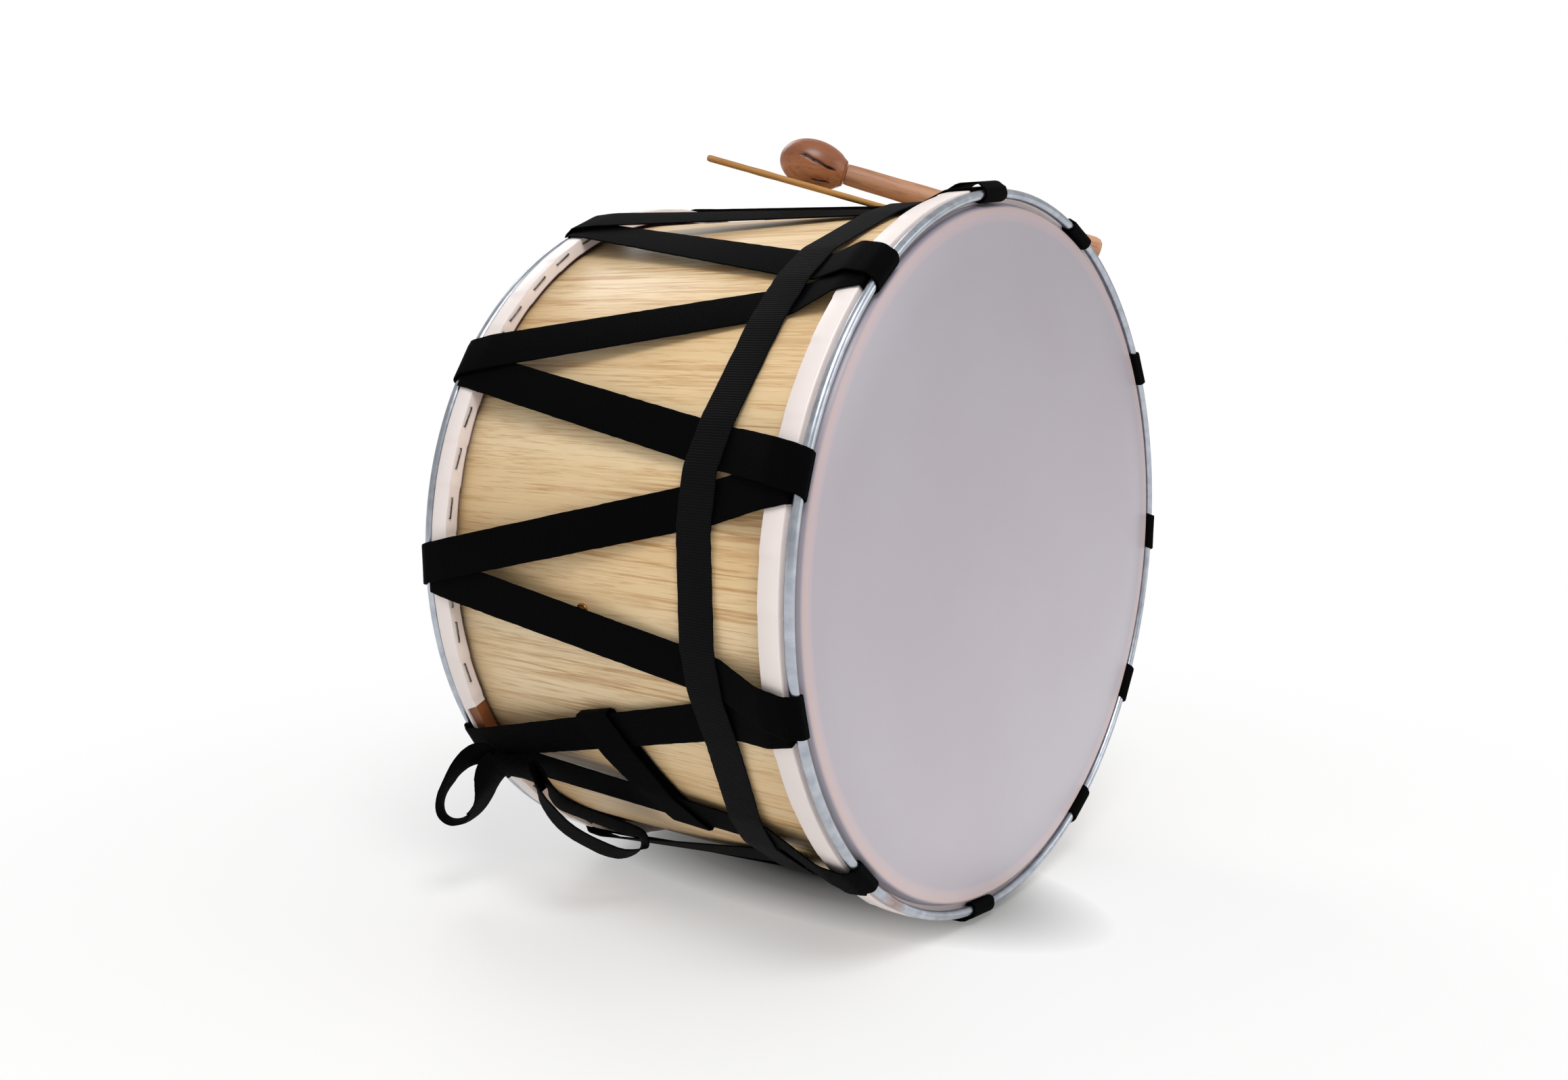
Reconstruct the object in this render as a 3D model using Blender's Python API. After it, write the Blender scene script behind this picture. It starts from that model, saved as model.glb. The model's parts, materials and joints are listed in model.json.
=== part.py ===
import bpy
import bmesh
from math import cos, sin, pi, radians, atan2, sqrt, hypot
from mathutils import Vector, Matrix
from mathutils.geometry import convex_hull_2d

for old in list(bpy.data.objects):
    bpy.data.objects.remove(old, do_unlink=True)

# A two-headed lap drum (davul) with its beaters. Lengths are in millimetres and angles in
# degrees until the meshes are made. The drum's axis lies along Y, with the front head at -Y.
mm = 0.001

# Driving sizes: wooden parts
shellRadius = 216.5        # outside of the bent shell
shellWall = 5.0
shellOverhang = 1.7        # bearing edge beyond the ring plane
ringSpan = 280.6           # distance between the two counter ring planes
reinforceWall = 4.0
reinforceWidth = 30.0
hoopStandoff = 2.5         # between shell and flesh hoop
hoopWall = 8.0
hoopWidth = 12.0

# Driving sizes: film, rods, webbing
filmThickness = 0.4
filmRise = 0.3             # film above the bearing edge
rodDiameter = 6.0
ringInset = 2.5            # rod centre inside the hoop's outer face
webWidth = 25.6            # 25 mm webbing, cut slightly across its lay
webThickness = 1.2
beltWidth = 24.5
beltThickness = 1.2
layerGap = 1.8             # between the two webbing layers of one wrap
seatGap = 0.35             # webbing to rod and webbing to film
clearance = 0.3            # between other neighbours
tipGap = 0.5               # from a run's end to the rod's middle, in front of the rod

# Driving sizes: beaters
handleRadius = 8.0
headRadius = 16.5
headLength = 49.0
handleReach = 205.0        # head centre to the end of the handle
switchRadius = 2.25
switchLength = 251.0

# Lacing: eleven wraps on each ring, evenly pitched and shifted a little by hand
wrapCount = 11
firstWrap = 96.25
frontShift = {4: -1.2, 5: 4.6, 6: 8.9, 7: 3.0, 10: 2.2}
rearShift = {1: 2.4, 2: 2.7, 3: 2.4, 4: 4.8}
beltSqueeze = 1.9          # inner layer above the shell where the belt pulls it in
beltStep = 1.6             # outer layer above the inner one there
plateau = 19.0             # wrap runs level this far behind the ring plane

roundSegments = 72

hoopInner = shellRadius + hoopStandoff
hoopOuter = hoopInner + hoopWall
ringRadius = hoopOuter - ringInset
rodRadius = rodDiameter / 2
halfWeb = webThickness / 2
filmFront = rodRadius + 2 * seatGap + webThickness
hoopFront = filmFront + filmThickness + clearance
hoopBack = hoopFront + hoopWidth
filmOuter = hoopOuter + clearance + filmThickness
innerLayer = filmOuter + clearance + halfWeb
outerLayer = innerLayer + webThickness + layerGap
halfSpan = ringSpan / 2
wrapReach = rodRadius + 2 * seatGap + halfWeb
loopReach = wrapReach + 0.5
wrapPitch = 360.0 / wrapCount

AXIS = Vector((0, 1, 0))


def radial(angle):
    return Vector((cos(angle), 0, sin(angle)))


def tangent(angle):
    return Vector((-sin(angle), 0, cos(angle)))


# Webbing path round a rod, as (radius, distance behind the ring plane), from the rod's
# front to the level part on the hoop. Every run starts as the inner layer of one wrap and
# ends as the outer layer of the next.
innerPath = [
    (ringRadius - tipGap, -wrapReach),
    (ringRadius - 0.71 * loopReach, -0.71 * loopReach),
    (ringRadius - loopReach, 0.0),
    (ringRadius - 0.78 * loopReach, 0.62 * loopReach),
    (ringRadius - 0.48 * loopReach, filmFront - seatGap - halfWeb),
    (filmOuter + 0.5, filmFront - seatGap - halfWeb),
    (innerLayer, filmFront - seatGap - halfWeb + 0.45),
    (innerLayer, plateau),
]
outerPath = [
    (ringRadius + tipGap, -wrapReach),
    (ringRadius + 0.72 * wrapReach, -0.74 * wrapReach),
    (ringRadius + 1.16 * wrapReach, 0.0),
    (outerLayer, rodRadius),
    (outerLayer, plateau),
]


def pathLengths(path):
    total = 0.0
    lengths = [0.0]
    for a, b in zip(path, path[1:]):
        total += hypot(b[0] - a[0], b[1] - a[1])
        lengths.append(total)
    return lengths


def pathNormals(path):
    turned = []
    for a, b in zip(path, path[1:]):
        size = hypot(b[0] - a[0], b[1] - a[1])
        turned.append(Vector((-(b[1] - a[1]) / size, (b[0] - a[0]) / size)))
    normals = [turned[0]]
    for a, b in zip(turned, turned[1:]):
        normals.append((a + b) / (1 + a.dot(b)))
    normals.append(turned[-1])
    return normals


def strip(centre, normal, across, width, thickness):
    n = normal * (thickness / 2)
    w = across * (width / 2)
    return [centre + n + w, centre + n - w, centre - n - w, centre - n + w]


def wrapSections(angle, side, path, slope):
    out, into = radial(angle), tangent(angle)
    sections = []
    for (rho, back), run, n in zip(path, pathLengths(path), pathNormals(path)):
        centre = out * rho + into * (slope * run) + AXIS * side * (halfSpan - back)
        normal = out * n.x - AXIS * side * n.y
        sections.append((centre, normal, into))
    return sections


# Wrap angles, alternating front and rear round the drum
wraps = []
frontAngles = [firstWrap + i * wrapPitch + frontShift.get(i, 0) for i in range(wrapCount)]
for i, here in enumerate(frontAngles):
    after = frontAngles[i + 1] if i + 1 < wrapCount else frontAngles[0] + 360
    wraps.append((radians(here), -1))
    wraps.append((radians((here + after) / 2 + rearShift.get(i, 0)), 1))
wraps.append((wraps[0][0] + 2 * pi, -1))

# The belt's middle, in mm behind the front ring plane, against the angle round the drum
beltLine = [(104.8, 58), (135.3, 62), (150.5, 64), (164.5, 72), (177.6, 68),
            (192.3, 65.5), (205.3, 62), (226.5, 75), (260, 66), (420, 60), (464.8, 58)]


def beltY(angle):
    a = angle * 180 / pi
    while a < beltLine[0][0]:
        a += 360
    while a > beltLine[-1][0]:
        a -= 360
    for (a0, y0), (a1, y1) in zip(beltLine, beltLine[1:]):
        if a <= a1:
            return y0 + (y1 - y0) * (a - a0) / (a1 - a0) - halfSpan
    return beltLine[-1][1] - halfSpan


class Run:
    def __init__(self, index):
        self.index = index
        start, end = wraps[index], wraps[index + 1]
        self.front = start if start[1] < 0 else end
        self.rear = end if start[1] < 0 else start
        self.frontInner = start[1] < 0
        self.frontPath = innerPath if self.frontInner else outerPath
        self.rearPath = outerPath if self.frontInner else innerPath
        self.lead = pathLengths(self.frontPath)[-1]
        self.tail = pathLengths(self.rearPath)[-1]
        self.length = self.lead + ringSpan - 2 * plateau + self.tail
        self.turn = self.rear[0] - self.front[0]
        self.slope = self.turn * innerLayer / self.length
        self.lift = 0.0
        for name, value in stickLift.items():
            if name == index:
                self.lift = value

    def angleAt(self, y):
        run = self.lead + y + halfSpan - plateau
        return self.front[0] + self.turn * run / self.length

    def sections(self):
        middle = self.front[0] + self.turn * 0.28
        y = beltY(middle)
        middle = self.angleAt(y)
        y = beltY(middle)
        depth = shellRadius + beltSqueeze + (0 if self.frontInner else beltStep) + self.lift
        flat = beltWidth / 2 + 0.75
        made = wrapSections(self.front[0], -1, self.frontPath, self.slope)
        for step in (-flat, flat):
            a = self.angleAt(y + step)
            made.append((radial(a) * depth + AXIS * (y + step), -radial(a), tangent(a)))
        self.beltSections = made[-2:]
        back = wrapSections(self.rear[0], 1, self.rearPath, -self.slope)
        return made + back[::-1]

    def legSection(self, y):
        row = self.sections()
        leg = row[len(self.frontPath) - 1:len(row) - len(self.rearPath) + 1]
        for a, b in zip(leg, leg[1:]):
            if a[0].y <= y <= b[0].y:
                t = (y - a[0].y) / (b[0].y - a[0].y)
                return tuple(p.lerp(q, t) for p, q in zip(a, b))
        return leg[-1]


# The switch passes under the two runs of the eleventh front wrap and holds them up
stickLift = {19: 5.9, 20: 5.6}
runs = [Run(i) for i in range(2 * wrapCount)]

# Beaters: a point on each axis, from where the beater crosses the shell, and its uphill direction
frontCentre = Vector((0, -halfSpan, 0))
handleSeat = radial(radians(67.5)) * shellRadius
headCentre = frontCentre + handleSeat + Vector((-62.05, 162.4, 54.38))
handleUp = Vector((-0.5927, 0.7556, 0.2789)).normalized()
switchSeat = radial(radians(66.0)) * shellRadius
switchTip = frontCentre + switchSeat + Vector((-163.26, 177.7, 53.92))
switchUp = Vector((-0.7720, 0.5911, 0.2335)).normalized()


def handlePoints(y, reach):
    side = handleUp.cross(Vector((0, 0, 1))).normalized()
    top = handleUp.cross(side)
    middle = headCentre + handleUp * ((y - headCentre.y) / handleUp.y)
    points = []
    for i in range(24):
        a = 2 * pi * i / 24
        p = (side * cos(a) + top * sin(a)) * reach
        p -= handleUp * (p.y / handleUp.y)
        points.append(middle + p)
    return points


# Belt path: pulled taut round the runs, the handle's top included
allSections = [run.sections() for run in runs]
taut = []
beltLift = halfWeb + clearance + beltThickness / 2
for run in runs:
    for centre, normal, across in run.beltSections:
        for s in (-1, 1):
            taut.append(centre - normal * beltLift + across * s * webWidth / 2)
beltReach = handleRadius + clearance + beltThickness / 2
beltAtHandle = beltY(radians(67.5))
for step in (-beltWidth / 2, 0, beltWidth / 2):
    taut += handlePoints(beltAtHandle + step, beltReach)
flat = [(p.x, p.z) for p in taut]
hull = [taut[i] for i in convex_hull_2d(flat)]
hull.sort(key=lambda p: atan2(p.z, p.x))
beltPath = []
for p in hull:
    if not beltPath or (p - beltPath[-1]).xz.length > 1.5:
        beltPath.append(p)


def flatNormals(points):
    normals = []
    count = len(points)
    for i in range(count):
        a = points[(i + 1) % count] - points[i]
        b = points[i] - points[i - 1]
        na = Vector((a.z, 0, -a.x)).normalized()
        nb = Vector((b.z, 0, -b.x)).normalized()
        normals.append((na + nb) / (1 + na.dot(nb)))
    return normals


beltSections = []
for p, n in zip(beltPath, flatNormals(beltPath)):
    centre = Vector((p.x, beltY(atan2(p.z, p.x)), p.z))
    beltSections.append(strip(centre, n, AXIS, beltWidth, beltThickness))

# Tie band round the two runs of the fourth rear wrap
bandWidth = 27.0
bandNear = runs[6]
bandFar = runs[7]
bandAngle, bandBack, bandSlant = radians(210.2), 143.0 - halfSpan, -0.41


def bandY(angle):
    return bandBack + bandSlant * (angle - bandAngle) * innerLayer


edge = 3 * halfWeb / 2 + clearance + 0.8
bandTop = []
bandLines = []
for run in (bandNear, bandFar):
    middle = bandY(run.angleAt(bandBack))
    for s in (-1, 1):
        y = middle
        for turn in range(4):
            centre, normal, across = run.legSection(y)
            point = centre - normal.normalized() * (halfWeb + edge)
            point += across * s * (webWidth / 2 + edge)
            y = bandY(atan2(point.z, point.x) % (2 * pi))
        bandTop.append(point)
    line = run.legSection(middle + 6)[0] - run.legSection(middle - 6)[0]
    bandLines.append(line.normalized())
bandAngles = [atan2(p.z, p.x) % (2 * pi) for p in bandTop]
low, high = min(bandAngles), max(bandAngles)
bandFloor = shellRadius + clearance + 1.7
steps = 6
bandUnder = []
for i in range(steps + 1):
    a = high + (low - high) * i / steps
    bandUnder.append(radial(a) * bandFloor)
chosen = [(p.x, p.z) for p in bandTop] + [(p.x, p.z) for p in bandUnder]
whole = bandTop + bandUnder
outer = [whole[i] for i in convex_hull_2d(chosen)]
outer = [p for p in outer if p.xz.length > bandFloor + 0.8]
outer.sort(key=lambda p: atan2(p.z, p.x) % (2 * pi))
bandPath = []
for p in outer + bandUnder:
    if not bandPath or (p - bandPath[-1]).xz.length > 1.0:
        bandPath.append(p)
bandSections = []
nearLine, farLine = bandLines
nearAngle, farAngle = bandAngles[1], bandAngles[2]
for p, n in zip(bandPath, flatNormals(bandPath)):
    angle = atan2(p.z, p.x) % (2 * pi)
    share = min(1.0, max(0.0, (angle - nearAngle) / (farAngle - nearAngle)))
    across = nearLine.lerp(farLine, share)
    if p.xz.length < bandFloor + 0.1:
        across -= radial(angle) * across.dot(radial(angle))
    centre = Vector((p.x, bandY(angle), p.z))
    bandSections.append(strip(centre, n, across.normalized(), bandWidth, webThickness))

# The drum rests on its lowest wrap
corners = [c for rows in allSections for s in rows for c in strip(*s, webWidth, webThickness)]
axisHeight = -min(c.z for c in corners)
DRUM = Vector((0, 0, axisHeight))

materials = {}


def material(name, colour, roughness, metallic=0.0):
    made = bpy.data.materials.new(name)
    made.use_nodes = True
    shader = made.node_tree.nodes["Principled BSDF"]
    shader.inputs["Base Color"].default_value = (*colour, 1)
    shader.inputs["Roughness"].default_value = roughness
    shader.inputs["Metallic"].default_value = metallic
    made.diffuse_color = (*colour, 1)
    materials[name] = made


material("pale_wood", (0.66, 0.49, 0.28), 0.55)
material("hoop_wood", (0.45, 0.24, 0.10), 0.6)
material("head_film", (0.42, 0.38, 0.43), 0.35)
material("steel", (0.36, 0.38, 0.42), 0.35, 1.0)
material("webbing", (0.012, 0.012, 0.014), 0.8)
material("belt_webbing", (0.016, 0.016, 0.018), 0.75)
material("brass", (0.42, 0.20, 0.07), 0.35, 1.0)
material("head_wood", (0.26, 0.11, 0.05), 0.5)
material("handle_wood", (0.52, 0.33, 0.22), 0.5)
material("switch_wood", (0.36, 0.16, 0.04), 0.5)


def finish(name, bm, surface, location=(0, 0, 0), parent=None):
    bmesh.ops.recalc_face_normals(bm, faces=bm.faces)
    if bm.calc_volume(signed=True) < 0:
        bmesh.ops.reverse_faces(bm, faces=bm.faces)
    bmesh.ops.scale(bm, vec=(mm, mm, mm), verts=bm.verts)
    mesh = bpy.data.meshes.new(name)
    bm.to_mesh(mesh)
    bm.free()
    mesh.materials.append(materials[surface])
    made = bpy.data.objects.new(name, mesh)
    bpy.context.scene.collection.objects.link(made)
    made.location = [c * mm for c in location]
    made.parent = parent
    return made


def loft(name, sections, surface, closed=False):
    bm = bmesh.new()
    rows = [[bm.verts.new(p) for p in s] for s in sections]
    for a, b in zip(rows, rows[1:] + (rows[:1] if closed else [])):
        for i in range(4):
            j = (i + 1) % 4
            bm.faces.new((a[i], a[j], b[j], b[i]))
    if not closed:
        bm.faces.new(rows[0][::-1])
        bm.faces.new(rows[-1])
    return finish(name, bm, surface, DRUM)


def turned(name, profile, surface, location, axis=AXIS, segments=roundSegments,
           closed=True, parent=None):
    bm = bmesh.new()
    if axis.z:
        verts = [bm.verts.new((r, 0, h)) for r, h in profile]
    else:
        verts = [bm.verts.new((r, h, 0)) for r, h in profile]
    edges = [bm.edges.new(pair) for pair in zip(verts, verts[1:])]
    if closed:
        edges.append(bm.edges.new((verts[-1], verts[0])))
    bmesh.ops.spin(bm, geom=verts + edges, cent=(0, 0, 0), axis=axis, angle=2 * pi,
                   steps=segments, use_merge=True)
    bmesh.ops.remove_doubles(bm, verts=bm.verts, dist=1e-3)
    return finish(name, bm, surface, location, parent)


# Shell, with rounded bearing edges
shellHalf = halfSpan + shellOverhang
bore = shellRadius - shellWall
round = 1.2
turned("shell", [
    (bore, -shellHalf), (shellRadius - round, -shellHalf), (shellRadius, round - shellHalf),
    (shellRadius, shellHalf - round), (shellRadius - round, shellHalf), (bore, shellHalf),
], "pale_wood", DRUM)

for side, word in ((-1, "front"), (1, "rear")):
    def back(rho, behind):
        return (rho, side * (halfSpan - behind))

    # Reinforcement ring glued inside the shell's end
    outside = bore - clearance
    inside = outside - reinforceWall
    end = -shellOverhang
    turned(word + "_inner_ring", [
        back(inside, end), back(outside, end),
        back(outside, end + reinforceWidth), back(inside, end + reinforceWidth),
    ], "pale_wood", DRUM)

    # Film head: disc, slope down to the hoop, over its face and rim, folded in behind it
    discBack = -shellOverhang - filmRise
    discFront = discBack - filmThickness
    backFold = hoopBack + clearance
    lip = hoopInner + 0.3
    turned(word + "_head", [
        back(0, discFront), back(shellRadius - 1.0, discFront),
        back(shellRadius + 0.75, discFront + 1.0), back(lip, filmFront),
        back(filmOuter - 0.5, filmFront), back(filmOuter, filmFront + 0.5),
        back(filmOuter, backFold + filmThickness), back(lip, backFold + filmThickness),
        back(lip, backFold), back(filmOuter - filmThickness, backFold),
        back(filmOuter - filmThickness, filmFront + filmThickness),
        back(lip - 0.3, filmFront + filmThickness), back(shellRadius + 0.35, discBack + 0.9),
        back(shellRadius - 1.1, discBack), back(0, discBack),
    ], "head_film", DRUM, closed=False)

    # Flesh hoop inside the folded film
    chamfer = 0.8
    turned(word + "_flesh_hoop", [
        back(hoopInner, hoopFront), back(hoopOuter - chamfer, hoopFront),
        back(hoopOuter, hoopFront + chamfer), back(hoopOuter, hoopBack),
        back(hoopInner, hoopBack),
    ], "hoop_wood", DRUM)

    # Counter ring: round steel rod
    rod = []
    for i in range(8):
        a = 2 * pi * (i + 0.5) / 8
        rod.append(back(ringRadius + rodRadius * cos(a), rodRadius * sin(a)))
    turned(word + "_counter_ring", rod, "steel", DRUM)

for run, rows in zip(runs, allSections):
    name = "lacing_run_%02d" % (run.index + 1)
    loft(name, [strip(*s, webWidth, webThickness) for s in rows], "webbing")

loft("cross_belt", beltSections, "belt_webbing", closed=True)
loft("tie_band", bandSections, "webbing", closed=True)

# Bow: a flattened knot on the runs below the rear hoop, and two loops that hang from it
knotAngle = radians(214.2)
knotFloor = innerLayer + 2.8
knotHeight = 9.0
knotLength = 34.0
knotWidth = 21.0
knotInset = 44.6
knotCentre = radial(knotAngle) * (knotFloor + knotHeight / 2) + AXIS * (halfSpan - knotInset)
bm = bmesh.new()
bmesh.ops.create_cube(bm, size=1)
bmesh.ops.subdivide_edges(bm, edges=[e for e in bm.edges
                          if abs(e.verts[0].co.y - e.verts[1].co.y) > 0.5], cuts=3)
for v in bm.verts:
    waist = 0.72 + 0.28 * (2 * v.co.y) ** 2
    v.co = Vector((v.co.x * knotHeight, v.co.y * knotLength, v.co.z * knotWidth * waist))
bmesh.ops.bevel(bm, geom=[e for e in bm.edges if e.calc_face_angle(0) > 0.7],
                offset=2.2, segments=2, profile=0.5, affect="EDGES", material=-1)
turn = Matrix((radial(knotAngle), AXIS, radial(knotAngle).cross(AXIS))).transposed()
bm.transform(turn.to_4x4())
finish("bow_knot", bm, "webbing", DRUM + knotCentre)


# A loop's middle line from the knot's centre, in mm, and its share of the twist at each point
leftRoute = [(1.2, 17.7, 0.8, 0), (-3.8, 25.3, 6, 0.2), (-9.6, 32.3, 5.2, 0.5),
           (-14.8, 38.3, -0.5, 0.8), (-19.3, 43.3, -9.1, 1), (-22.1, 47.3, -18.2, 1),
           (-21.4, 51.3, -26.7, 1), (-17.8, 54.3, -34.6, 1), (-12.2, 56.3, -41.1, 1),
           (-5, 57.3, -45.4, 1), (2.2, 56.3, -46.3, 1), (6.7, 53.3, -42.9, 1),
           (8.4, 48.3, -36.3, 1), (7.6, 41.3, -27.2, 1), (5, 34.3, -18.1, 0.8),
           (1.4, 27.3, -8.8, 0.5), (0.2, 21.8, -2.5, 0.2), (-1.4, 17.7, -1, 0)]
rightRoute = [(1.2, -17.7, 0.8, 0), (-0.2, -21.7, -2.6, 0.15), (2.2, -26.7, -12.4, 0.45),
           (6.5, -31.7, -19.6, 0.75), (12.7, -36.7, -23.8, 1), (18.4, -41.7, -27.1, 1),
           (30.1, -49.7, -34.3, 1), (39.3, -56.7, -39.8, 1), (44, -61.7, -43.2, 1),
           (46.2, -63.7, -47.9, 1), (45, -61.7, -53.5, 1), (37.9, -57.7, -55.9, 1),
           (28.3, -52.7, -52.8, 1), (17.8, -47.7, -45.5, 1), (8.1, -42.7, -38.2, 1),
           (-0.2, -37.7, -29.7, 1), (-5.1, -31.7, -20, 0.8), (-8.1, -26.7, -11.4, 0.55),
           (-7.7, -21.7, -4.2, 0.3), (-3.6, -18.7, -0.6, 0.1), (-1.4, -17.7, -1, 0)]
loopWidth = 25.0
knotSide = tangent(knotAngle)


def bowLoop(name, route, heading, atEnd):
    points = [knotCentre + Vector(p[:3]) for p in route]
    last = len(points) - 1
    sections = []
    for i, point in enumerate(points):
        blend = route[i][3]
        straight = heading if i < last / 2 else -heading
        ahead = (points[min(i + 1, last)] - points[max(i - 1, 0)]).normalized()
        ahead = straight.lerp(ahead, min(1.0, 2 * blend)).normalized()
        across = knotSide.lerp(atEnd, blend)
        across = (across - ahead * across.dot(ahead)).normalized()
        sections.append(strip(point, ahead.cross(across), across, loopWidth, webThickness))
    return loft(name, sections, "webbing")


bowLoop("bow_loop_left", leftRoute, AXIS, Vector((0.661, 0.570, -0.488)))
bowLoop("bow_loop_right", rightRoute, -AXIS, Vector((0.481, 0.690, -0.540)))

# Small eye lying on the shell, with most of it under a run
eyeWire = 0.8
eyeRadius = 3.3
eyeAngle = radians(184.67)
bm = bmesh.new()
ring = [bm.verts.new((eyeRadius + eyeWire * cos(2 * pi * i / 6), 0,
                      eyeWire * sin(2 * pi * i / 6))) for i in range(6)]
sides = [bm.edges.new((ring[i], ring[(i + 1) % 6])) for i in range(6)]
bmesh.ops.spin(bm, geom=ring + sides, cent=(0, 0, 0), axis=(0, 0, 1), angle=2 * pi,
               steps=16, use_merge=True)
bmesh.ops.remove_doubles(bm, verts=bm.verts, dist=1e-3)
outward = radial(eyeAngle)
bm.transform(Matrix((AXIS, outward.cross(AXIS), outward)).transposed().to_4x4())
eyeSeat = shellRadius + clearance + eyeWire
finish("strap_eye", bm, "brass", DRUM + outward * eyeSeat + AXIS * (156.0 - halfSpan))


def axisEmpty(name, point, up):
    made = bpy.data.objects.new(name, None)
    bpy.context.scene.collection.objects.link(made)
    made.location = (DRUM + point) * mm
    made.rotation_mode = "QUATERNION"
    made.rotation_quaternion = up.to_track_quat("Z", "Y")
    return made


# Big beater: egg-shaped head on a plain handle
tokmakAxis = axisEmpty("tokmak_axis", headCentre, handleUp)
collar = -0.44 * headLength
egg = [(0, collar), (handleRadius - 0.8, collar), (handleRadius + 1.2, collar + 1.2)]
for i in range(1, 10):
    z = collar + 1.2 + (headLength / 2 - collar - 1.2) * (1 - cos(pi * i / 10)) / 2
    k = z / (headLength / 2)
    egg.append((headRadius * sqrt(max(0, 1 - k * k)) * (1 + 0.06 * k), z))
egg.append((0, headLength / 2))
turned("tokmak_head", egg, "head_wood", (0, 0, 0), axis=Vector((0, 0, 1)), segments=24,
       closed=False, parent=tokmakAxis)
top = collar - clearance
turned("tokmak_handle", [
    (0, top), (handleRadius - 1.2, top), (handleRadius - 0.9, -60), (handleRadius, -110),
    (handleRadius, 3 - handleReach), (handleRadius - 2.5, -handleReach), (0, -handleReach),
], "handle_wood", (0, 0, 0), axis=Vector((0, 0, 1)), segments=24, closed=False,
    parent=tokmakAxis)

# Thin switch
cubukAxis = axisEmpty("cubuk_axis", switchTip, switchUp)
turned("cubuk", [
    (0, 0), (switchRadius - 0.9, 0), (switchRadius - 0.2, -1.5), (switchRadius, -40),
    (switchRadius, 1.5 - switchLength), (switchRadius - 0.8, -switchLength),
    (0, -switchLength),
], "switch_wood", (0, 0, 0), axis=Vector((0, 0, 1)), segments=12, closed=False,
    parent=cubukAxis)

bpy.context.view_layer.update()
lowest = min((o.matrix_world @ v.co).z for o in bpy.data.objects if o.type == "MESH"
             for v in o.data.vertices)
print("axis height %.2f mm, lowest point %.3f mm" % (axisHeight, lowest / mm))
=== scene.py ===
import json
from bisect import bisect
from math import sin, cos, pi, radians, hypot, atan2, sqrt
import bpy
import bmesh
from mathutils import Matrix, Vector
from mathutils.geometry import convex_hull_2d


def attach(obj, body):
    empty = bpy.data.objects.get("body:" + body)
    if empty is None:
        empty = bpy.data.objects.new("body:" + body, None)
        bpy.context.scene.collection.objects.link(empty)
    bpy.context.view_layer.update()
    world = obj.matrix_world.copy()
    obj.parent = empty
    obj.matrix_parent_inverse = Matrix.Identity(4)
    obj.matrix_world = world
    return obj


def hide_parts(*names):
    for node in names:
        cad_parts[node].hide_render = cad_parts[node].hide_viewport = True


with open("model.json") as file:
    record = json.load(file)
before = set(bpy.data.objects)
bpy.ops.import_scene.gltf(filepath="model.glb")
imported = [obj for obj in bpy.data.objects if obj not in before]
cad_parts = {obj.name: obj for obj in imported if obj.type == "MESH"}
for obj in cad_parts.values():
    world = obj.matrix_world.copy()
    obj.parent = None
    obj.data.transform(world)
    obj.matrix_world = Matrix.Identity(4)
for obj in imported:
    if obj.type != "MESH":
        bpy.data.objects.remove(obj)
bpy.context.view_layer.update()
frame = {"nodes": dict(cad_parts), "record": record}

# Sizes are in millimetres about the drum's axis, and become metres when a mesh is finished
mm = 0.001
drum = dict(axisHeight=frame["record"]["mounts"][0]["pos_m"][2] / mm, span=280.6, shell=216.5,
            wall=5.0, overhang=1.7, hoopInner=219.0, hoopOuter=227.0, hoopFront=5.6,
            hoopBack=17.6, film=0.4, rod=3.0, ring=224.5, gap=0.3)
webbing = dict(width=25.6, thickness=1.2, layerGap=1.8, seatGap=0.35, plateau=19.0, squeeze=1.9,
               step=1.6, beltWidth=24.5)
half = drum["span"] / 2
filmFace = drum["rod"] + 2 * webbing["seatGap"] + webbing["thickness"]
filmRim = drum["hoopOuter"] + drum["gap"] + drum["film"]
innerLayer = filmRim + drum["gap"] + webbing["thickness"] / 2
outerLayer = innerLayer + webbing["thickness"] + webbing["layerGap"]
axisLine = Vector((0, 1, 0))
origin = Vector((0, 0, drum["axisHeight"]))


def radial(angle):
    return Vector((cos(angle), 0, sin(angle)))


def tangent(angle):
    return Vector((-sin(angle), 0, cos(angle)))


def wobble(value, seed=0.0):
    # the same pseudo-random number every run
    return (sin(value * 12.9898 + seed * 78.233) * 43758.5453) % 1.0


# Camera: fitted to the two rings of the photograph, 2318 x 1596
camera = bpy.data.objects.new("camera", bpy.data.cameras.new("camera"))
bpy.context.scene.collection.objects.link(camera)
camera.data.sensor_width = 36.0
camera.data.lens = 33.478
sight = Vector((0.78880, 0.59765, -0.14358)).normalized()
right = Vector((0.60391, -0.79705, 0)).normalized()
up = right.cross(sight)
turn = Matrix((right, up, -sight)).transposed()
spot = (origin + Vector((-808.5, -439.2 - half, 143.8))) * mm
camera.matrix_world = Matrix.Translation(spot) @ turn.to_4x4()
bpy.context.scene.camera = camera
bpy.context.scene.view_settings.view_transform = "Standard"


# Materials
def hexColour(code):
    parts = [int(code[i:i + 2], 16) / 255 for i in (1, 3, 5)]
    linear = [c / 12.92 if c <= 0.04045 else ((c + 0.055) / 1.055) ** 2.4 for c in parts]
    return (*linear, 1.0)


def addNode(tree, kind, inputs=None, **settings):
    node = tree.nodes.new(kind)
    for key, value in settings.items():
        setattr(node, key, value)
    for key, value in (inputs or {}).items():
        if isinstance(value, bpy.types.NodeSocket):
            tree.links.new(value, node.inputs[key])
        else:
            node.inputs[key].default_value = value
    return node


def startMaterial(name, **sockets):
    made = bpy.data.materials.new(name)
    made.use_nodes = True
    shader = made.node_tree.nodes["Principled BSDF"]
    for key, value in sockets.items():
        shader.inputs[key.replace("_", " ")].default_value = value
    return made, made.node_tree, shader


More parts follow.
